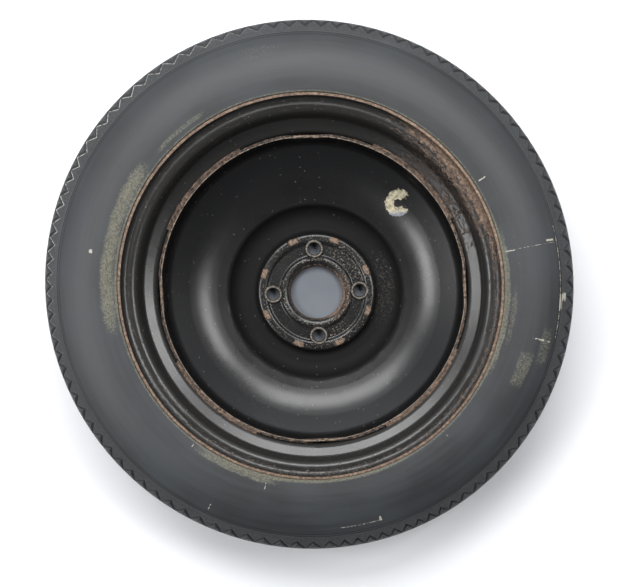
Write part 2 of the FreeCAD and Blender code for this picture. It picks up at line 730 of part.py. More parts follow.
def make_valve():
    """The snap-in valve: rubber stem, brass tube, core, spring, pin, seals and screw cap."""
    stem = valve_piece("valve_stem", [
        ("tube_radius", "stem_length"),
        ("tube_radius", "-tube_start"),
        ("stem_mouth_radius", "-tube_start"),
        ("stem_mouth_radius", "-stem_head_height"),
        ("stem_head_tip_radius", "-stem_head_height", "1"),
        ("stem_head_radius", "-stem_head_rim", "0.8"),
        ("stem_head_radius", "0"),
        ("valve_hole_radius", "0"),
        ("valve_hole_radius", "rim_sheet"),
        ("stem_bulb_radius", "rim_sheet"),
        ("stem_bulb_radius", "(rim_sheet + stem_bulb_length)", "1"),
        ("stem_waist_radius", "(rim_sheet + stem_bulb_length + stem_taper_length)", "6"),
        ("stem_tip_radius", "stem_length", "0.6"),
    ])
    seat_end = "(core_seat_start + core_seat_length)"
    tube = valve_piece("valve_tube", [
        ("tube_bore_radius", "-tube_start"),
        ("tube_radius", "-tube_start"),
        ("tube_radius", "stem_length"),
        ("thread_radius", "stem_length"),
        ("thread_radius", "(valve_length - thread_chamfer)"),
        ("(thread_radius - thread_chamfer)", "valve_length"),
        ("core_thread_radius", "valve_length"),
        ("core_thread_radius", seat_end),
        ("tube_bore_radius", "core_seat_start"),
    ])
    pin_hole = "(pin_radius + pin_play)"
    plug_end = "(core_plug_start + core_plug_length)"
    barrel_top = "(core_plug_start - core_roof)"
    core = valve_piece("core_body", [
        (pin_hole, "core_start"),
        ("core_barrel_radius", "core_start"),
        ("core_barrel_radius", "core_plug_start"),
        ("(core_thread_radius - core_thread_play)", "core_plug_start"),
        ("(core_thread_radius - core_thread_play)", plug_end),
        (pin_hole, plug_end),
        (pin_hole, barrel_top),
        ("spring_room_radius", barrel_top),
        ("spring_room_radius", "(core_start + core_floor)"),
        (pin_hole, "(core_start + core_floor)"),
    ])
    slope = "((core_thread_radius - tube_bore_radius) / core_seat_length)"
    gasket_start = "(core_seat_start + 0.5)"
    gasket_end = f"({gasket_start} + gasket_length)"
    gasket = valve_piece("core_gasket", [
        ("core_barrel_radius", gasket_start),
        (f"(tube_bore_radius + 0.5 * {slope} - gasket_play)", gasket_start),
        (f"(tube_bore_radius + (0.5 + gasket_length) * {slope} - gasket_play)", gasket_end),
        ("core_barrel_radius", gasket_end),
    ])
    seal_start = "(core_start - seal_thickness)"
    collar_end = f"({barrel_top} - pin_collar_gap)"
    collar_start = f"({collar_end} - pin_collar_length)"
    pin = valve_piece("core_pin", [
        ("0", f"({seal_start} - pin_cup_length)"),
        ("pin_cup_radius", f"({seal_start} - pin_cup_length)"),
        ("pin_cup_radius", seal_start),
        ("pin_radius", seal_start),
        ("pin_radius", collar_start),
        ("pin_collar_radius", collar_start),
        ("pin_collar_radius", collar_end),
        ("pin_radius", collar_end),
        ("pin_radius", "(valve_length - pin_recess)"),
        ("0", "(valve_length - pin_recess)"),
    ])
    seal = valve_piece("pin_seal", rectangle("pin_radius", "pin_cup_radius", seal_start, "core_start"))
    spring = make_spring("(core_start + core_floor)", collar_start)
    cap_bore = "(thread_radius + cap_play)"
    cap_start = "(stem_length + cap_clear)"
    cap_floor = "(valve_length + cap_seal_thickness)"
    cap_end = f"({cap_floor} + cap_crown)"
    cap = valve_piece("valve_cap", [
        (cap_bore, cap_start),
        (f"({cap_bore} + cap_wall)", cap_start),
        (f"({cap_bore} + cap_wall)", cap_end, "cap_round"),
        ("0", cap_end),
        ("0", cap_floor),
        (cap_bore, cap_floor),
    ])
    add_grips(cap, f"({cap_bore} + cap_wall)", cap_start, f"({cap_end} - 2 * cap_round)")
    washer = valve_piece("cap_seal", rectangle("cap_seal_hole", cap_bore, "valve_length", cap_floor))
    return [stem, tube, core, gasket, pin, seal, spring, cap, washer]


def add_grips(cap, radius, start, end):
    """Grip flutes down the outside of the cap."""
    sketch = new_sketch(cap, "grip_section", "XY_Plane")
    flute = Part.Circle(Vector(value(f"{radius} + 0.6 * cap_grip_radius"), 0, 0), Vector(0, 0, 1),
                        value("cap_grip_radius"))
    circle = sketch.addGeometry(flute, False)
    outline = Outline(sketch)
    outline.limit("PointOnObject", circle, 3, -1)
    outline.size(f"({radius} + 0.6 * cap_grip_radius)", "DistanceX", -1, 1, circle, 3)
    outline.size("cap_grip_radius", "Radius", circle)
    outline.finish()
    flute = cap.newObject("PartDesign::Pocket", "grip_flute")
    flute.Profile = sketch
    flute.Reversed = True
    flute.setExpression("Length", bound(end))
    around(cap, "grips", [flute], "cap_grip_count")


def make_spring(start, end):
    """The core's coil spring, round the pin inside the barrel."""
    wire_radius = value("spring_wire_radius")
    mean_radius = value("spring_room_radius - spring_play") - wire_radius
    low = value(f"{start} + spring_play") + wire_radius
    high = value(f"{end} - spring_play") - wire_radius
    helix = Part.makeHelix((high - low) / value("spring_turns"), high - low, mean_radius)
    helix.translate(Vector(0, 0, low))
    section = Part.Wire(Part.makeCircle(wire_radius, Vector(mean_radius, 0, low), Vector(0, 1, 0)))
    spring = doc.addObject("Part::Feature", "core_spring")
    spring.Shape = Part.Wire(helix).makePipeShell([section], True, True)
    place_on_valve(spring)
    return spring


rim = make_valve_hole(make_rim())
disc = make_disc()
welds = make_welds(rim, disc)
tyre = make_tyre()
pieces = [tyre, rim, disc, welds] + make_valve()
doc.recompute()

for item in doc.Objects:
    if "Invalid" in item.State or "Error" in item.State:
        raise RuntimeError(f"{item.Name} failed: {item.State}")
os.makedirs("parts", exist_ok=True)
for piece in pieces:
    if piece.Shape.isNull() or not piece.Shape.isValid():
        raise RuntimeError(f"{piece.Label} has no valid shape")
    piece.Shape.exportStep(f"parts/{piece.Label}.step")
    box = piece.Shape.BoundBox
    print(f"{piece.Label}: {len(piece.Shape.Solids)} solid(s), {piece.Shape.Volume / 1000:.2f} cm3, "
          f"z {box.ZMin:.1f} to {box.ZMax:.1f}, {len(piece.Shape.Faces)} faces")
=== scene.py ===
"""Space saver spare wheel: the finishes, the added pieces and the studio around the CAD frame."""

import json
import logging
import math
from dataclasses import dataclass, field
from enum import Enum

import bpy
from mathutils import Matrix, Vector, noise
from mathutils.bvhtree import BVHTree

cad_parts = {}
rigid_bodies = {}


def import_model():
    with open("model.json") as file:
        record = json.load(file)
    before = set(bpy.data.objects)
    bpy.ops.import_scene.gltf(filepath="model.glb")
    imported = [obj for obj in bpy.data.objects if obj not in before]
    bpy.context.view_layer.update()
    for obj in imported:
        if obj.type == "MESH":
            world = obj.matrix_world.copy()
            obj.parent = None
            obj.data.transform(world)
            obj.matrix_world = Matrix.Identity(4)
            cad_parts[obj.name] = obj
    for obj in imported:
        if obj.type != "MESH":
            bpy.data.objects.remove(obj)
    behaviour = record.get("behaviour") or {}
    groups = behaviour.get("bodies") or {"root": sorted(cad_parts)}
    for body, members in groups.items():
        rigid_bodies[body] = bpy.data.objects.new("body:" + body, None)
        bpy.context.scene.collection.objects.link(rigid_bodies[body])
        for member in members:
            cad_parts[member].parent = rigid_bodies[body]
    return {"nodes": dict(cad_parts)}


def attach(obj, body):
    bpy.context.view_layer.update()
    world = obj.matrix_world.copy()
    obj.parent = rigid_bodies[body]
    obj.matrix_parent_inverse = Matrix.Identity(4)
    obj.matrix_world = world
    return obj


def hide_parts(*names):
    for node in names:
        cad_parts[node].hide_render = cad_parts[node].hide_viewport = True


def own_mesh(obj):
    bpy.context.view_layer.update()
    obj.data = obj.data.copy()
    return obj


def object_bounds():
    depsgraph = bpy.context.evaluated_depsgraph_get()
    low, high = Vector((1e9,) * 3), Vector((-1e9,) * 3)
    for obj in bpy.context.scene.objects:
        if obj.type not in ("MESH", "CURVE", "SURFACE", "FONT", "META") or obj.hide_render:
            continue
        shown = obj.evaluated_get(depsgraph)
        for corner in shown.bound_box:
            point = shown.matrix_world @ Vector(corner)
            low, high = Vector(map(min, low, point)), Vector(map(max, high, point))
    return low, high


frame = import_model()
cad_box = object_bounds()

log = logging.getLogger("spare_wheel")
Socket = bpy.types.NodeSocket
Value = float | Socket
Colour = tuple[float, float, float, float]

MM = 0.001
NARROW_PATCH = 7.0  # millimetres; a narrower patch keeps its exact edge
MERGE_DISTANCE = 1e-7


def srgb(red: int, green: int, blue: int) -> Colour:
    """Turns a colour as it looks on screen, 0 to 255, into the shader's linear colour.

    Args:
        red: Red, 0 to 255.
        green: Green, 0 to 255.
        blue: Blue, 0 to 255.

    Returns:
        The linear colour with full alpha.
    """
    def linear(level: int) -> float:
        share = level / 255
        return share / 12.92 if share <= 0.04045 else ((share + 0.055) / 1.055) ** 2.4

    return (linear(red), linear(green), linear(blue), 1.0)


class Maths(Enum):
    """Operations of the Math node that the finishes use."""

    ADD = "ADD"
    SUBTRACT = "SUBTRACT"
    MULTIPLY = "MULTIPLY"
    MAXIMUM = "MAXIMUM"
    MODULO = "FLOORED_MODULO"
    ABSOLUTE = "ABSOLUTE"
    POWER = "POWER"
    ARCTAN = "ARCTAN2"
    SINE = "SINE"
    COSINE = "COSINE"


@dataclass(frozen=True)
class Patch:
    """A worn place on the wheel, as a piece of a ring.

    Lengths are millimetres from the axis, angles degrees about it. Where above is given, the place is only
    higher than that many millimetres.
    """

    inner: float
    outer: float
    angle: float = 0.0
    half_width: float = 180.0
    amount: float = 1.0
    soft: float = 2.0
    soft_angle: float = 6.0
    above: float | None = None


class Recipe:
    """One material's node tree, built a socket at a time on the Object coordinates."""

    def __init__(self, name: str) -> None:
        """Starts a material with a Principled shader.

        Args:
            name: The material's name.
        """
        self.material = bpy.data.materials.new(name)
        self.material.use_nodes = True
        self.tree = self.material.node_tree
        self.tree.nodes.clear()
        output = self.add("ShaderNodeOutputMaterial")
        self.shader = self.add("ShaderNodeBsdfPrincipled")
        self.tree.links.new(self.shader.outputs["BSDF"], output.inputs["Surface"])
        self.place = self.add("ShaderNodeTexCoord").outputs["Object"]
        split = self.add("ShaderNodeSeparateXYZ")
        self.tree.links.new(self.place, split.inputs[0])
        self.x, self.y, self.height = split.outputs
        squares = self.sum(self.product(self.x, self.x), self.product(self.y, self.y))
        self.radius = self.maths(Maths.POWER, squares, 0.5)
        self.angle = self.product(self.maths(Maths.ARCTAN, self.y, self.x), 180 / math.pi)

    def add(self, kind: str) -> bpy.types.Node:
        """Adds a node of a kind."""
        return self.tree.nodes.new(kind)

    def feed(self, value: object, socket: Socket) -> None:
        """Sets a socket to a constant, or links it to another socket."""
        if isinstance(value, bpy.types.NodeSocket):
            self.tree.links.new(value, socket)
        else:
            socket.default_value = value

    def maths(self, operation: Maths, first: Value, second: Value = 0.0) -> Socket:
        """One Math node.

        Args:
            operation: What it does.
            first: The first value.
            second: The second value, where the operation takes one.

        Returns:
            The result's socket.
        """
        node = self.add("ShaderNodeMath")
        node.operation = operation.value
        self.feed(first, node.inputs[0])
        self.feed(second, node.inputs[1])
        return node.outputs[0]

    def sum(self, first: Value, second: Value) -> Socket:
        """The sum of two values."""
        return self.maths(Maths.ADD, first, second)

    def product(self, first: Value, second: Value) -> Socket:
        """The product of two values."""
        return self.maths(Maths.MULTIPLY, first, second)

    def step(self, value: Value, low: float, high: float, bottom: float = 0.0, top: float = 1.0) -> Socket:
        """A smooth step.

        Args:
            value: What is stepped.
            low: Where the step starts.
            high: Where it ends. It may be below low.
            bottom: The result before the step.
            top: The result after it.

        Returns:
            The stepped value.
        """
        node = self.add("ShaderNodeMapRange")
        node.interpolation_type = "SMOOTHSTEP"
        if low > high:
            low, high, bottom, top = high, low, top, bottom
        for name, number in (("From Min", low), ("From Max", high), ("To Min", bottom), ("To Max", top)):
            node.inputs[name].default_value = number
        self.feed(value, node.inputs["Value"])
        return node.outputs["Result"]

    def band(self, value: Value, low: float, high: float, soft: float) -> Socket:
        """One between two limits and nothing beyond them, with soft edges."""
        rise = self.step(value, low - soft, low + soft)
        return self.product(rise, self.step(value, high + soft, high - soft))

    def arc(self, centre: float, half: float, soft: float) -> Socket:
        """One within half degrees of a direction, with soft ends."""
        turned = self.maths(Maths.MODULO, self.sum(self.angle, 540 - centre), 360.0)
        away = self.maths(Maths.ABSOLUTE, self.sum(turned, -180.0))
        return self.step(away, half + soft, half - soft)

    def from_bolts(self, circle: float, turn: float) -> Socket:
        """The distance from the nearest of four bolt holes.

        Args:
            circle: The bolt circle's radius in metres.
            turn: The first hole's direction in degrees.

        Returns:
            The distance in metres.
        """
        turned = self.maths(Maths.MODULO, self.sum(self.angle, 405 - turn), 90.0)
        local = self.product(self.sum(turned, -45.0), math.pi / 180)
        along = self.sum(self.product(self.radius, self.maths(Maths.COSINE, local)), -circle)
        across = self.product(self.radius, self.maths(Maths.SINE, local))
        squares = self.sum(self.product(along, along), self.product(across, across))
        return self.maths(Maths.POWER, squares, 0.5)

    def noise(self, scale: float, detail: float = 4.0, stretch: Vector | None = None,
              rough: float = 0.55) -> Socket:
        """Cloudy noise between nothing and one.

        Args:
            scale: Waves per metre.
            detail: Octaves.
            stretch: Scale along each axis of the round coordinates (angle, radius, height) where the
                noise follows the wheel, or None where it doesn't.
            rough: Share of the finer octaves.

        Returns:
            The noise.
        """
        node = self.add("ShaderNodeTexNoise")
        node.inputs["Scale"].default_value = scale
        node.inputs["Detail"].default_value = detail
        node.inputs["Roughness"].default_value = rough
        if stretch is None:
            self.tree.links.new(self.place, node.inputs["Vector"])
        else:
            joined = self.add("ShaderNodeCombineXYZ")
            turn = self.product(self.angle, math.pi / 180 * stretch.x)
            for value, socket in zip(
                (turn, self.product(self.radius, stretch.y), self.product(self.height, stretch.z)),
                joined.inputs,
            ):
                self.feed(value, socket)
            self.tree.links.new(joined.outputs[0], node.inputs["Vector"])
        return node.outputs["Fac"]

    def specks(self, scale: float, size: float) -> Socket:
        """Scattered specks: one inside a speck, nothing outside."""
        node = self.add("ShaderNodeTexVoronoi")
        node.inputs["Scale"].default_value = scale
        self.tree.links.new(self.place, node.inputs["Vector"])
        chosen = self.add("ShaderNodeSeparateColor")
        self.tree.links.new(node.outputs["Color"], chosen.inputs[0])
        near = self.step(node.outputs["Distance"], size, size * 0.5)
        return self.product(near, self.step(chosen.outputs[0], 0.72, 0.8))

    def patches(self, places: tuple[Patch, ...], wobble: Socket) -> Socket:
        """How worn each point is, by the list of worn places.

        Args:
            places: The worn places.
            wobble: Noise that makes their edges uneven.

        Returns:
            The wear, from nothing to one and more where places lie over each other.
        """
        total: Value = 0.0
        uneven = self.sum(self.radius, self.product(self.sum(wobble, -0.5), 0.006))
        for patch in places:
            narrow = patch.outer - patch.inner < NARROW_PATCH
            here = self.band(self.radius if narrow else uneven, patch.inner * MM, patch.outer * MM,
                             patch.soft * MM)
            if patch.half_width < 180:
                here = self.product(here, self.arc(patch.angle, patch.half_width, patch.soft_angle))
            if patch.above is not None:
                here = self.product(here, self.step(self.height, (patch.above - 1) * MM, patch.above * MM))
            total = self.sum(total, self.product(here, patch.amount))
        return total

    def broken(self, cover: Value, grain: Socket, soft: float = 0.12) -> Socket:
        """Breaks an even cover into patches, so that a cover of a half shows on half of the surface."""
        even = self.step(grain, 0.3, 0.7, soft, 1 + soft)
        full = self.product(cover, 1 + 2 * soft)
        return self.step(self.maths(Maths.SUBTRACT, full, even), -soft, soft)

    def mix(self, share: Value, first: Colour | Socket, second: Colour | Socket) -> Socket:
        """Mixes two colours."""
        node = self.add("ShaderNodeMix")
        node.data_type = "RGBA"
        self.feed(share, node.inputs[0])
        self.feed(first, node.inputs[6])
        self.feed(second, node.inputs[7])
        return node.outputs[2]

    def ramp(self, value: Value, *stops: tuple[float, Colour]) -> Socket:
        """A colour ramp through the stops given."""
        node = self.add("ShaderNodeValToRGB")
        elements = node.color_ramp.elements
        while len(elements) < len(stops):
            elements.new(0.5)
        for element, (position, colour) in zip(elements, stops):
            element.position = position
            element.color = colour
        self.feed(value, node.inputs[0])
        return node.outputs[0]

    def bump(self, height: Value, distance: float, strength: float = 1.0) -> None:
        """Adds bump to the shader, over what it has already."""
        node = self.add("ShaderNodeBump")
        node.inputs["Strength"].default_value = strength
        node.inputs["Distance"].default_value = distance
        self.feed(height, node.inputs["Height"])
        normal = self.shader.inputs["Normal"]
        if normal.is_linked:
            self.tree.links.new(normal.links[0].from_socket, node.inputs["Normal"])
        self.tree.links.new(node.outputs[0], normal)

    def clear_from_behind(self) -> None:
        """Lets the back of the surface through, for looking at the object from below."""
        output = next(node for node in self.tree.nodes if node.type == "OUTPUT_MATERIAL")
        mixed = self.add("ShaderNodeMixShader")
        self.feed(self.add("ShaderNodeNewGeometry").outputs["Backfacing"], mixed.inputs[0])
        self.feed(self.shader.outputs["BSDF"], mixed.inputs[1])
        self.feed(self.add("ShaderNodeBsdfTransparent").outputs[0], mixed.inputs[2])
        self.feed(mixed.outputs[0], output.inputs["Surface"])

    def set(self, **values: object) -> None:
        """Sets the shader's sockets, named with underscores for spaces."""
        for name, value in values.items():
            self.feed(value, self.shader.inputs[name.replace("_", " ")])


@dataclass(frozen=True)
class RustColours:
    """The colours of rust, from fresh and dark to dry and pale."""

    deep: Colour = srgb(30, 24, 21)
    brown: Colour = srgb(76, 60, 50)
    tan: Colour = srgb(128, 107, 90)
    cream: Colour = srgb(172, 156, 136)


@dataclass(frozen=True)
class BoltRings:
    """Bare rings round the bolt holes, worn by the bolts' seats.

    Lengths are in metres, the turn in degrees.
    """

    turn: float
    pale: float
    circle: float = 54 * MM
    inner: float = 8.6 * MM
    outer: float = 10.4 * MM
    soft: float = 0.7 * MM
    wobble: float = 2 * MM


@dataclass(frozen=True)
class PaintedSteel:
    """Glossy black paint over pressed steel, with rust where the paint has gone."""

    name: str
    paint: Colour
    rusted: tuple[Patch, ...]
    dusty: tuple[Patch, ...]
    specks: float
    bare: tuple[Patch, ...] = ()
    dull: tuple[Patch, ...] = ()
    bolt_rings: BoltRings | None = None
    ripples: float = 0.0
    gloss: float = 0.22
    dust: Colour = srgb(134, 130, 120)
    speck: Colour = srgb(150, 146, 138)
    steel: Colour = srgb(166, 156, 142)
    rust: RustColours = field(default_factory=RustColours)

    def material(self) -> bpy.types.Material:
        """Builds the material.

        Returns:
            The material.
        """
        made = Recipe(self.name)
        wobble = made.noise(45.0, 3.0)
        grain = made.noise(420.0, 6.0, rough=0.7)
        streaks = made.noise(1.0, 6.0, Vector((34.0, 420.0, 420.0)), 0.68)
        cover = made.patches(self.rusted, wobble)
        rusty = made.broken(cover, made.sum(made.product(grain, 0.35), made.product(streaks, 0.65)), 0.2)
        tone = made.sum(made.product(made.noise(330.0, 6.0, rough=0.72), 0.9), made.product(cover, 0.1))
        rust = made.ramp(tone, (0.3, self.rust.deep), (0.45, self.rust.brown), (0.62, self.rust.tan),
                         (0.8, self.rust.cream))
        dust = made.broken(made.patches(self.dusty, wobble), grain, 0.3)
        bare = made.broken(made.patches(self.bare, wobble), grain, 0.3)
        film = made.product(made.noise(30.0, 5.0), 0.012)
        painted = made.mix(made.sum(made.product(dust, 0.14), film), self.paint, self.dust)
        painted = made.mix(made.product(made.specks(170.0, 0.16), self.specks), painted, self.speck)
        if self.bolt_rings:
            rings = self.bolt_rings
            near = made.from_bolts(rings.circle, rings.turn)
            uneven = made.sum(near, made.product(made.sum(wobble, -0.5), rings.wobble))
            seat = made.band(uneven, rings.inner, rings.outer, rings.soft)
            bare = made.maths(Maths.MAXIMUM, bare, made.product(seat, made.step(grain, 0.36, 0.6)))
            bare = made.product(bare, rings.pale)
        painted = made.mix(rusty, painted, rust)
        painted = made.mix(made.product(bare, 0.8), painted, self.steel)
        flat = made.patches(self.dull, wobble)
        made.set(Base_Color=painted, Specular_IOR_Level=made.step(flat, 0.0, 1.0, 0.5, 0.12))
        smooth = made.sum(self.gloss, made.product(made.noise(18.0, 4.0), 0.12))
        worn = made.maths(Maths.MAXIMUM, rusty, made.product(dust, 0.6))
        worn = made.maths(Maths.MAXIMUM, worn, made.product(flat, 0.85))
        made.set(Roughness=made.maths(Maths.MAXIMUM, smooth, made.product(worn, 0.78)))
        made.bump(made.noise(34.0, 2.0), 0.0006, 0.35)
        made.bump(made.product(rusty, made.sum(0.5, made.product(grain, 0.9))), 0.0006, 0.8)
        if self.ripples:
            made.bump(made.maths(Maths.SINE, made.product(made.angle, self.ripples)), 0.0003, 0.4)
        return made.material


@dataclass(frozen=True)
class AgedRubber:
    """Tyre rubber gone grey, with chalky scuffs, a few pale scratches and near-black painted shade along the
    sidewall's mould steps.
    """

    name: str
    rubber: Colour
    bloom: Colour
    chalk: Colour
    scuffs: tuple[Patch, ...]
    scratches: tuple[Patch, ...]
    # Radii of the sidewall's mould steps, where thin near-black lines of painted shade are laid.
    shaded_mould_steps: tuple[float, ...] = (286.8 * MM, 289.6 * MM)
    line_half: float = 0.5 * MM
    line_soft: float = 0.3 * MM
    line_heights: tuple[float, float] = (90 * MM, 95 * MM)
    tread_starts: tuple[float, float] = (290.0 * MM, 291.2 * MM)
    scratched: Colour = srgb(178, 174, 160)
    painted_step_shade: Colour = srgb(14, 14, 15)
    worn_tread: Colour = srgb(128, 128, 124)

    def material(self) -> bpy.types.Material:
        """Builds the material.

        Returns:
            The material.
        """
        made = Recipe(self.name)
        wobble = made.noise(60.0, 4.0)
        rings = made.noise(1.0, 4.0, Vector((2.0, 160.0, 160.0)))
        tone = made.sum(made.product(made.noise(9.0, 5.0), 0.6), made.product(rings, 0.4))
        body = made.mix(made.step(tone, 0.36, 0.68), self.rubber, self.bloom)
        streaks = made.noise(1.0, 5.0, Vector((150.0, 240.0, 90.0)), 0.7)
        grain = made.sum(made.product(streaks, 0.55), made.product(made.noise(520.0, 5.0, rough=0.7), 0.45))
        chalky = made.broken(made.patches(self.scuffs, wobble), grain, 0.45)
        strokes = made.step(made.noise(1.0, 5.0, Vector((90.0, 700.0, 260.0)), 0.75), 0.4, 0.6, 0.3, 1.0)
        body = made.mix(made.product(made.product(chalky, strokes), 0.8), body, self.chalk)
        marks = made.broken(made.patches(self.scratches, made.noise(140.0, 3.0)), made.noise(300.0, 3.0), 0.3)
        body = made.mix(made.product(marks, 0.8), body, self.scratched)
        # Painted shade: a near-black line at each mould step, on the upper sidewall only.
        for line in self.shaded_mould_steps:
            here = made.band(made.radius, line - self.line_half, line + self.line_half, self.line_soft)
            here = made.product(here, made.step(made.height, *self.line_heights))
            body = made.mix(made.product(here, 0.9), body, self.painted_step_shade)
        worn = made.step(made.noise(700.0, 4.0, rough=0.65), 0.45, 0.7)
        tread = made.step(made.radius, *self.tread_starts)
        body = made.mix(made.product(made.product(tread, worn), 0.22), body, self.worn_tread)
        made.set(Base_Color=body, Specular_IOR_Level=0.5)
        matt = made.maths(Maths.MAXIMUM, made.product(chalky, 0.8), made.product(tread, 0.62))
        made.set(Roughness=made.maths(Maths.MAXIMUM, made.step(tone, 0.3, 0.75, 0.46, 0.6), matt))
        made.bump(made.noise(900.0, 3.0, rough=0.6), 0.0002, 0.3)
        made.bump(rings, 0.0005, 0.3)
        return made.material


@dataclass(frozen=True)
class PlainFinish:
    """A small part's finish: a colour that varies a little, with fine bump."""

    name: str
    light: Colour
    dark: Colour
    roughness: float
    metallic: float = 0.0
    grain: float = 900.0

    def material(self) -> bpy.types.Material:
        """Builds the material.

        Returns:
            The material.
        """
        made = Recipe(self.name)
        cloud = made.noise(self.grain / 3, 5.0)
        made.set(Base_Color=made.mix(made.step(cloud, 0.35, 0.65), self.dark, self.light),
                 Metallic=self.metallic)
        made.set(Roughness=made.step(cloud, 0.3, 0.7, self.roughness - 0.08, self.roughness + 0.1))
        made.bump(made.noise(self.grain, 3.0), 0.0001, 0.4)
        return made.material


def dress(node: bpy.types.Object, material: bpy.types.Material) -> None:
    """Puts one material on a whole object.

    Args:
        node: The object.
        material: What it wears.
    """
    node.data.materials.clear()
    node.data.materials.append(material)


def start_piece(name: str) -> None:
    """Names the object that an operator has just added, and leaves it active."""
    bpy.context.object.name = name
    bpy.context.object.data.name = name


def select_only(piece: bpy.types.Object | None = None) -> None:
    """Leaves one object selected and active, or none."""
    for other in bpy.context.scene.objects:
        other.select_set(False)
    if piece:
        piece.select_set(True)
        bpy.context.view_layer.objects.active = piece


def settle(piece: bpy.types.Object, smooth_angle: float) -> None:
    """Points the faces outwards, shades them and brings the object's place into its mesh.

    Args:
        piece: The finished piece.
        smooth_angle: Edges sharper than this many degrees stay sharp.
    """
    select_only(piece)
    bpy.ops.object.transform_apply(location=True, rotation=True, scale=True)
    bpy.ops.object.mode_set(mode="EDIT")
    bpy.ops.mesh.select_all(action="SELECT")
    bpy.ops.mesh.normals_make_consistent(inside=False)
    bpy.ops.object.mode_set(mode="OBJECT")
    bpy.ops.object.shade_smooth_by_angle(angle=math.radians(smooth_angle))
    select_only()


@dataclass
class Tyre:
    """The moulded tyre, dressed as aged rubber. The CAD solid has its ribs, grooves and sidewalls."""

    nodes: dict[str, bpy.types.Object]
    finish: AgedRubber = field(default_factory=lambda: AgedRubber(
        name="aged tyre rubber",
        rubber=srgb(36, 38, 40),
        bloom=srgb(50, 53, 56),
        chalk=srgb(120, 117, 100),
        scuffs=(
            Patch(223, 240, 168, 25, 0.5, 2.5, 5.0),
            Patch(228, 236, 168, 22, 0.3, 3.0, 8.0),
            Patch(227, 232, 130, 9, 0.5, 0.8, 3.0),
            Patch(223, 231, 246, 13, 0.62, 2.0, 5.0),
            Patch(221, 225, 270, 26, 0.5, 1.0, 8.0),
            Patch(221, 228, 356, 22, 0.6, 1.5, 8.0),
            Patch(229, 236, 352, 9, 0.45, 1.5, 4.0),
            Patch(236, 244, 12, 12, 0.25, 3.0, 6.0),
            Patch(250, 268, 339, 5, 0.5, 3.0, 2.0),
            Patch(270, 284, 346, 5, 0.45, 3.0, 2.0),
            Patch(262, 280, 103, 6, 0.3, 5.0, 4.0),
            Patch(220.5, 223.5, amount=0.5, soft=0.7),
        ),
        scratches=(
            Patch(225, 284, 11.2, 0.07, 0.55, 1.0, 0.08),
            Patch(226, 238, 11.0, 0.12, 0.9, 3.0, 0.12),
            Patch(276, 284, 11.9, 0.25, 0.9, 1.5, 0.2),
            Patch(287.6, 288.4, 1, 15, 0.55, 0.5, 3.0),
            Patch(287, 291, 357, 1.6, 0.8, 1.2, 0.8),
            Patch(291, 296, 358.5, 0.9, 0.9, 1.2, 0.6),
            Patch(262, 284, 347.5, 0.2, 0.6, 3.0, 0.2),
            Patch(250, 253.5, 170.6, 0.5, 0.9, 1.0, 0.3),
            Patch(279.6, 280.4, 281, 5, 0.55, 0.4, 1.0),
            Patch(275, 281, 285.8, 0.25, 0.9, 0.6, 0.1),
            Patch(229, 238, 255.8, 0.12, 0.55, 1.0, 0.1),
            Patch(225, 233, 232.1, 0.12, 0.55, 1.0, 0.1),
            Patch(275, 284, 244.0, 0.1, 0.5, 1.0, 0.1),
            Patch(223, 232, 312.2, 0.12, 0.45, 1.0, 0.1),
            Patch(226, 236, 33.1, 0.2, 0.7, 1.0, 0.1),
        ),
    ))

    def build(self) -> None:
        """Dresses the tyre."""
        dress(self.nodes["tyre"], self.finish.material())
        log.info("tyre: %s", self.finish.name)


@dataclass
class Rim:
    """The rolled rim, black paint with rust along its lip."""

    nodes: dict[str, bpy.types.Object]
    finish: PaintedSteel = field(default_factory=lambda: PaintedSteel(
        name="rim paint",
        paint=srgb(34, 33, 32),
        rusted=(
            Patch(217.4, 224, amount=0.86, soft=0.4),
            Patch(180, 222, 38, 24, 0.34, 3.0, 14.0),
            Patch(208, 218, amount=0.12, soft=3.0),
            Patch(202, 206, amount=0.14, soft=1.5),
            Patch(180, 218, amount=0.06, soft=2.0),
            Patch(210, 219, 0, 60, 0.2, 2.0, 20.0),
            Patch(208, 218, 262, 30, 0.14, 3.0, 10.0),
        ),
        dusty=(Patch(180, 220, amount=0.1), Patch(211, 219, 300, 110, 0.24, 2.0, 20.0)),
        specks=0.4,
    ))

    def build(self) -> None:
        """Dresses the rim."""
        dress(self.nodes["rim"], self.finish.material())
        log.info("rim: %s", self.finish.name)


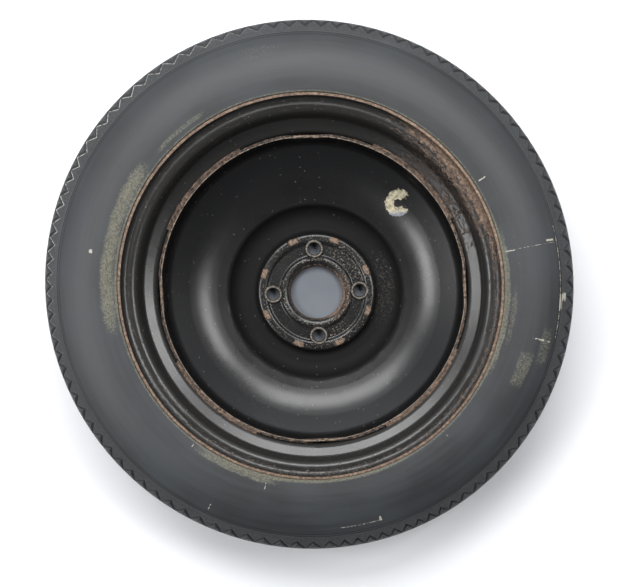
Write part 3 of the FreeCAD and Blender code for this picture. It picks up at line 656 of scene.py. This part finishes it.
@dataclass
class WheelDisc:
    """The pressed disc: glossy bowl, dusty hub pad with rust patches, and a rusted skirt edge."""

    nodes: dict[str, bpy.types.Object]
    bolt_turn: float = 2.6
    patch_offset: float = 22.0

    def finish(self) -> PaintedSteel:
        """The disc's paint, with its rust laid out round the bolt holes.

        Returns:
            The finish.
        """
        beside_holes = tuple(
            Patch(65, 71.5, hole * 90 + self.bolt_turn + side * self.patch_offset, 5.0, 0.9, 1.5, 2.5)
            for hole in range(4) for side in (-1, 1)
        )
        return PaintedSteel(
            name="disc paint",
            paint=srgb(17, 17, 18),
            rusted=beside_holes + (
                Patch(30, 35.5, amount=0.5, soft=1.2),
                # Heavier rust on the bore's right side: partly real rust, partly painted light for the lit
                # side of the bore's funnel.
                Patch(31, 43, 350, 52, 0.45, 2.0, 18.0),
                Patch(40, 72, amount=0.12, soft=3.0),
                Patch(176.5, 184, amount=0.5, soft=0.4, above=69.0),
                Patch(174, 180, amount=0.12, soft=0.4, above=40.0),
            ),
            dusty=(
                Patch(30, 73, amount=0.3, soft=3.0),
                Patch(73, 100, 5, 30, 0.3, 4.0, 15.0),
                Patch(76, 179, amount=0.06),
            ),
            specks=0.35,
            bare=(
                Patch(178.6, 179.5, amount=0.6, soft=0.3, above=70.0),
                # Pale bare steel on the inner raised ring and the outer land: partly wear from the hub,
                # partly a painted highlight on their rounded edges.
                Patch(39, 42.5, amount=0.34, soft=1.0),
                Patch(64, 71, amount=0.24, soft=1.5),
                Patch(46, 64, 45, 30, 0.3, 4.0, 12.0),
                Patch(46, 64, 300, 20, 0.26, 4.0, 12.0),
            ),
            dull=(Patch(73.5, 111, soft=2.0),),
            bolt_rings=BoltRings(turn=self.bolt_turn, pale=0.8),
        )

    def build(self) -> None:
        """Dresses the disc and its welds."""
        dress(self.nodes["wheel_disc"], self.finish().material())
        weld = PaintedSteel("weld bead", srgb(40, 33, 29), (Patch(170, 200, amount=0.6),), (), 0.2,
                            ripples=4.0)
        dress(self.nodes["disc_welds"], weld.material())
        log.info("wheel_disc and disc_welds: painted and rusted")


@dataclass
class Valve:
    """The snap-in valve on the hidden side."""

    nodes: dict[str, bpy.types.Object]
    pin_travel: float = 1.5 * MM
    inward: Vector = field(default_factory=lambda: Vector((1, 0, 1)).normalized())
    wire_smooth_angle: float = 50.0

    def build(self) -> None:
        """Dresses each piece of the valve."""
        rubber = PlainFinish("valve rubber", srgb(52, 52, 54), srgb(36, 36, 38), 0.62).material()
        brass = PlainFinish("valve brass", srgb(186, 158, 98), srgb(140, 112, 62), 0.34, 1.0).material()
        steel = PlainFinish("spring wire", srgb(170, 170, 172), srgb(120, 120, 124), 0.3, 1.0).material()
        plastic = PlainFinish("cap plastic", srgb(40, 40, 42), srgb(28, 28, 30), 0.42).material()
        for material, names in (
            (rubber, ("valve_stem", "core_gasket", "pin_seal", "cap_seal")),
            (brass, ("valve_tube", "core_body", "core_pin")),
            (steel, ("core_spring",)),
            (plastic, ("valve_cap",)),
        ):
            for name in names:
                dress(self.nodes[name], material)
                log.info("%s: %s", name, material.name)
        self.spring_that_gives(steel)

    def spring_that_gives(self, steel: bpy.types.Material) -> None:
        """Puts a merged copy of the spring in its place and hides the CAD spring.

        Args:
            steel: The wire's material.
        """
        node = self.nodes["core_spring"]
        spring = bpy.data.objects.new("pressed_spring", node.data.copy())
        bpy.context.scene.collection.objects.link(spring)
        spring.matrix_world = node.matrix_world.copy()
        select_only(spring)
        bpy.ops.object.mode_set(mode="EDIT")
        bpy.ops.mesh.select_all(action="SELECT")
        bpy.ops.mesh.remove_doubles(threshold=MERGE_DISTANCE)
        bpy.ops.object.mode_set(mode="OBJECT")
        settle(spring, self.wire_smooth_angle)
        dress(spring, steel)
        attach(spring, "wheel")
        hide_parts("core_spring")
        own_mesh(spring)


@dataclass
class ToothEdges:
    """The edge of the zigzag groove on each shoulder, a thin strip with a highlight painted on it where it
    catches the light.
    """

    groups: tuple[tuple[int, float], ...] = (
        (13, 3.90), (16, 3.00), (9, 3.40), (12, 3.75), (10, 2.90), (7, 3.60), (38, 3.42),
    )
    first_angle: float = 100.0
    middle: float = 40.5 * MM
    half_groove: float = 2.1 * MM
    swing: float = 3.2 * MM
    swing_radius: float = 278.8 * MM
    bevel_radius: float = 304.8 * MM
    bevel_height: float = 39.4 * MM
    slope: float = 1.25
    outer_slope: float = 0.5556
    mid_plane: float = 50.0 * MM
    width: float = 0.8 * MM
    clearance: float = 0.05 * MM
    thickness: float = 0.12 * MM
    smooth_angle: float = 40.0
    # The arc, in degrees, that gets the painted highlight: centre, half width and soft ends.
    lit_arc: tuple[float, float, float] = (148.0, 34.0, 22.0)

    def build(self) -> None:
        """Models the inboard edge and copies it to the outboard shoulder."""
        inboard = self.edge()
        outboard = inboard.copy()
        outboard.data = inboard.data.copy()
        outboard.name = outboard.data.name = "tooth_edge_outboard"
        bpy.context.scene.collection.objects.link(outboard)
        for vertex in outboard.data.vertices:
            vertex.co.z = 2 * self.mid_plane - vertex.co.z
        outboard.data.flip_normals()
        material = self.painted_highlight()
        for piece in (inboard, outboard):
            dress(piece, material)
            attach(piece, "wheel")
            log.info("%s: %d faces", piece.name, len(piece.data.polygons))

    def angles(self) -> list[float]:
        """Directions of the zigzag's corners in degrees, two to a tooth."""
        pitches = [pitch for count, pitch in self.groups for _ in range(count)]
        closing = 360 / sum(pitches)
        corners, angle = [], self.first_angle
        for pitch in pitches:
            corners += [angle, angle + pitch * closing / 2]
            angle += pitch * closing
        return corners

    def corner(self, index: int, angle: float) -> Vector:
        """A corner of the groove's upper edge.

        Args:
            index: The corner's number.
            angle: Its direction in degrees.

        Returns:
            Its place, in metres.
        """
        swing = self.swing * self.bevel_radius / self.swing_radius
        height = self.middle + self.half_groove + (swing if index % 2 else -swing)
        above = height - self.bevel_height
        radius = self.bevel_radius - above * (self.slope if above > 0 else self.outer_slope)
        radius += self.clearance
        turn = math.radians(angle)
        return Vector((radius * math.cos(turn), radius * math.sin(turn),
                       self.mid_plane + height + self.clearance))

    def edge(self) -> bpy.types.Object:
        """Bends a ring to the zigzag and draws a narrow strip from it up the shoulder.

        Returns:
            The strip.
        """
        corners = [self.corner(i, angle) for i, angle in enumerate(self.angles())]
        select_only()
        bpy.ops.mesh.primitive_circle_add(vertices=len(corners), radius=self.bevel_radius)
        start_piece("tooth_edge_inboard")
        piece = bpy.context.object
        for vertex, corner in zip(piece.data.vertices, corners):
            vertex.co = corner
        bpy.ops.object.mode_set(mode="EDIT")
        bpy.ops.mesh.select_all(action="SELECT")
        bpy.ops.mesh.extrude_region()
        bpy.ops.object.mode_set(mode="OBJECT")
        for vertex in piece.data.vertices:
            if vertex.select:
                inward = Vector((vertex.co.x, vertex.co.y, 0)).normalized() * (self.width * self.slope)
                vertex.co += Vector((0, 0, self.width)) - inward
        thicken = piece.modifiers.new("rubber", "SOLIDIFY")
        thicken.thickness = self.thickness
        thicken.offset = 0
        select_only(piece)
        bpy.ops.object.modifier_apply(modifier=thicken.name)
        settle(piece, self.smooth_angle)
        return piece

    def painted_highlight(self) -> bpy.types.Material:
        """Rubber with a pale highlight painted on it over the lit arc of the edge.

        Returns:
            The material.
        """
        made = Recipe("rubbed tooth edge")
        # Painted highlight: pale over the lit arc on the upper left, broken by noise; the rest of the strip
        # is plain rubber tone.
        pale = made.product(made.arc(*self.lit_arc), made.step(made.noise(240.0, 4.0), 0.36, 0.56))
        body = made.mix(made.noise(300.0, 3.0), srgb(46, 48, 50), srgb(66, 69, 72))
        made.set(Base_Color=made.mix(pale, body, srgb(168, 167, 158)), Roughness=0.6)
        made.bump(made.noise(900.0, 3.0), 0.0001, 0.4)
        return made.material


@dataclass
class StickerScrap:
    """What is left of a torn paper sticker in the bowl."""

    disc: bpy.types.Object
    radius: float = 148.7 * MM
    angle: float = math.radians(47.0)
    outer: float = 18.0 * MM
    inner: float = 5.4 * MM
    gap_angle: float = 0.0
    gap_half: float = 34.0
    gap_wobble: float = 8.0
    torn_share: float = 0.86
    tears: tuple[tuple[float, float], ...] = ((260.0, 2.6 * MM), (900.0, 1.2 * MM))
    thickness: float = 0.15 * MM
    cuts: int = 90
    sheet_share: float = 2.4
    start_height: float = 200 * MM
    lift: float = 0.12 * MM
    smooth_angle: float = 60.0

    def build(self) -> bpy.types.Object:
        """Cuts a ragged horseshoe from a sheet and lays it on the bowl.

        Returns:
            The scrap.
        """
        centre = Vector((math.cos(self.angle), math.sin(self.angle), 0)) * self.radius
        select_only()
        bpy.ops.mesh.primitive_grid_add(x_subdivisions=self.cuts, y_subdivisions=self.cuts,
                                        size=self.sheet_share * self.outer,
                                        location=(centre.x, centre.y, self.start_height))
        start_piece("sticker_scrap")
        scrap = bpy.context.object
        bpy.ops.object.transform_apply(location=True, rotation=True, scale=True)
        bpy.ops.object.mode_set(mode="EDIT")
        bpy.ops.mesh.select_mode(type="FACE")
        bpy.ops.mesh.select_all(action="DESELECT")
        bpy.ops.object.mode_set(mode="OBJECT")
        for face in scrap.data.polygons:
            face.select = not self.paper_at(face.center - centre)
        bpy.ops.object.mode_set(mode="EDIT")
        bpy.ops.mesh.delete(type="FACE")
        bpy.ops.mesh.select_mode(type="VERT")
        bpy.ops.object.mode_set(mode="OBJECT")
        surface = BVHTree.FromObject(self.disc, bpy.context.evaluated_depsgraph_get())
        for vertex in scrap.data.vertices:
            vertex.co.z = surface.ray_cast(vertex.co, Vector((0, 0, -1)))[0].z + self.lift
        thicken = scrap.modifiers.new("paper", "SOLIDIFY")
        thicken.thickness = self.thickness
        select_only(scrap)
        bpy.ops.object.modifier_apply(modifier=thicken.name)
        settle(scrap, self.smooth_angle)
        dress(scrap, self.paper())
        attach(scrap, "wheel")
        log.info("sticker_scrap: %d faces", len(scrap.data.polygons))
        return scrap

    def paper_at(self, offset: Vector) -> bool:
        """Whether any paper is left at a point, given from the scrap's middle."""
        ragged = sum(noise.noise(Vector((offset.x, offset.y, layer)) * waves) * depth
                     for layer, (waves, depth) in enumerate(self.tears))
        reach = math.hypot(offset.x, offset.y) + ragged
        turn = math.degrees(math.atan2(offset.y, offset.x)) - self.gap_angle
        in_gap = abs((turn + 180) % 360 - 180) < self.gap_half - ragged / MM * self.gap_wobble
        return self.inner < reach < self.outer * self.torn_share and not in_gap

    def paper(self) -> bpy.types.Material:
        """The stained paper.

        Returns:
            The material.
        """
        made = Recipe("torn paper")
        cream = made.ramp(made.noise(260.0, 5.0), (0.3, srgb(112, 104, 86)), (0.5, srgb(176, 168, 142)),
                          (0.7, srgb(206, 200, 178)))
        low = made.step(made.sum(made.y, made.product(made.noise(200.0, 3.0), 0.006)), 0.1035, 0.0995)
        tinted = made.mix(made.product(low, 0.6), cream, srgb(92, 104, 140))
        made.set(Base_Color=tinted, Roughness=0.75)
        made.bump(made.noise(700.0, 4.0), 0.0002, 0.8)
        return made.material


@dataclass(frozen=True)
class SoftBox:
    """A rectangular soft light: its place and sides in metres, and its power in watts."""

    name: str
    place: Vector
    width: float
    depth: float
    power: float


@dataclass
class Studio:
    """The pale floor, the soft lights and the camera."""

    floor_height: float
    floor_size: float = 14.0
    lens: float = 58.48
    camera_place: Vector = field(default_factory=lambda: Vector((0.0389, -0.0440, 1.3000)))
    camera_tilt: tuple[float, float] = (4.205, -4.651)
    camera_shift: tuple[float, float] = (-0.1702, 0.1854)
    window_side: tuple[float, float, float] = (-0.28, 0.96, 0.0)
    # Radius and soft edge, in metres, of the shadow painted on the floor under the wheel.
    painted_shadow_radius: float = 0.235
    painted_shadow_fade: float = 0.02
    bright_beyond: float = 0.9
    bright_fade: float = 0.6
    room_levels: tuple[float, float] = (0.22, 0.68)
    ceiling_share: float = 0.12
    sensor: float = 36.0
    boxes: tuple[SoftBox, ...] = field(default_factory=lambda: (
        SoftBox("right", Vector((1.00, 0.40, 1.80)), 0.8, 0.5, 16.0),
        SoftBox("top", Vector((-0.20, 1.15, 1.80)), 1.7, 0.8, 40.0),
        SoftBox("left", Vector((-1.30, -0.20, 1.60)), 1.0, 0.6, 21.0),
    ))

    def build(self) -> None:
        """Builds the floor, lights, world and camera."""
        self.lay_floor()
        for box in self.boxes:
            self.hang(box)
        self.fill_world()
        self.place_camera()

    def lay_floor(self) -> None:
        """The floor, which takes the shadow and isn't part of the object, with a shadow painted on it under
        the wheel.
        """
        select_only()
        bpy.ops.mesh.primitive_plane_add(size=self.floor_size, location=(0, 0, self.floor_height))
        start_piece("floor")
        made = Recipe("pale floor")
        # Painted shadow: the floor is grey-blue under the wheel, as seen through the bore and bolt holes.
        painted_shadow_share = made.step(made.radius, self.painted_shadow_radius, self.painted_shadow_radius - self.painted_shadow_fade)
        cloud = made.step(made.noise(14.0, 3.0), 0.2, 0.8)
        painted_shadow_colour = made.mix(cloud, srgb(92, 96, 103), srgb(103, 107, 114))
        made.set(Base_Color=made.mix(painted_shadow_share, srgb(240, 241, 243), painted_shadow_colour), Roughness=0.7)
        seen = made.add("ShaderNodeLightPath").outputs["Is Camera Ray"]
        beyond = made.step(made.radius, self.bright_beyond, self.bright_beyond + self.bright_fade)
        far = made.product(beyond, seen)
        made.set(Emission_Color=srgb(255, 255, 255), Emission_Strength=far)
        made.clear_from_behind()
        dress(bpy.context.object, made.material)

    def hang(self, box: SoftBox) -> None:
        """Hangs a soft light that faces the wheel.

        Args:
            box: The light.
        """
        lamp = bpy.data.lights.new(box.name, "AREA")
        lamp.shape = "RECTANGLE"
        lamp.size, lamp.size_y = box.width, box.depth
        lamp.energy = box.power
        light = bpy.data.objects.new(box.name, lamp)
        bpy.context.scene.collection.objects.link(light)
        ahead = -box.place.normalized()
        side = Vector((0, 0, 1)).cross(ahead).normalized()
        turn = Matrix((side, ahead.cross(side), -ahead)).transposed().to_4x4()
        light.matrix_world = Matrix.Translation(box.place) @ turn

    def fill_world(self) -> None:
        """The light of the room: dark overhead, brighter from the window side, and white behind it all."""
        world = bpy.data.worlds.new("room")
        bpy.context.scene.world = world
        world.use_nodes = True
        tree = world.node_tree
        back = tree.nodes["Background"]

        def add(kind: str, *inputs: Value | Colour, **settings: str) -> bpy.types.Node:
            """Adds a node, with its first inputs linked or set."""
            node = tree.nodes.new(kind)
            for name, setting in settings.items():
                setattr(node, name, setting)
            for socket, value in zip(node.inputs, inputs):
                if isinstance(value, bpy.types.NodeSocket):
                    tree.links.new(value, socket)
                else:
                    socket.default_value = value
            return node

        way = add("ShaderNodeTexCoord").outputs["Generated"]
        window = add("ShaderNodeVectorMath", way, self.window_side, operation="DOT_PRODUCT").outputs["Value"]
        side = add("ShaderNodeMapRange", window, -0.35, 0.75, *self.room_levels,
                   interpolation_type="SMOOTHSTEP")
        up = add("ShaderNodeSeparateXYZ", way).outputs["Z"]
        ceiling = add("ShaderNodeMapRange", up, 0.72, 0.97, 1.0, self.ceiling_share,
                      interpolation_type="SMOOTHSTEP")
        level = add("ShaderNodeMath", side.outputs["Result"], ceiling.outputs["Result"],
                    operation="MULTIPLY")
        seen = add("ShaderNodeLightPath").outputs["Is Camera Ray"]
        white = add("ShaderNodeMath", level.outputs[0], seen, operation="MAXIMUM")
        tree.links.new(white.outputs[0], back.inputs["Strength"])
        back.inputs["Color"].default_value = srgb(244, 248, 255)

    def place_camera(self) -> None:
        """Sets the camera where the photograph was taken, above the wheel and a little off its axis."""
        data = bpy.data.cameras.new("camera")
        data.lens = self.lens
        data.sensor_width = self.sensor
        data.shift_x, data.shift_y = self.camera_shift
        camera = bpy.data.objects.new("camera", data)
        bpy.context.scene.collection.objects.link(camera)
        across, along = (math.tan(math.radians(angle)) for angle in self.camera_tilt)
        ahead = Vector((across, along, -1)).normalized()
        side = ahead.cross(Vector((0, 1, 0))).normalized()
        up = side.cross(ahead)
        turn = Matrix((side, up, -ahead)).transposed().to_4x4()
        camera.matrix_world = Matrix.Translation(self.camera_place) @ turn
        bpy.context.scene.camera = camera


def main() -> None:
    """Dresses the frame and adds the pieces."""
    logging.basicConfig(level=logging.INFO, format="%(message)s")
    nodes = frame["nodes"]
    Tyre(nodes).build()
    Rim(nodes).build()
    WheelDisc(nodes).build()
    Valve(nodes).build()
    ToothEdges().build()
    StickerScrap(nodes["wheel_disc"]).build()
    Studio(floor_height=cad_box[0].z).build()
    bpy.context.scene.view_settings.view_transform = "Standard"


if __name__ == "__main__":
    main()
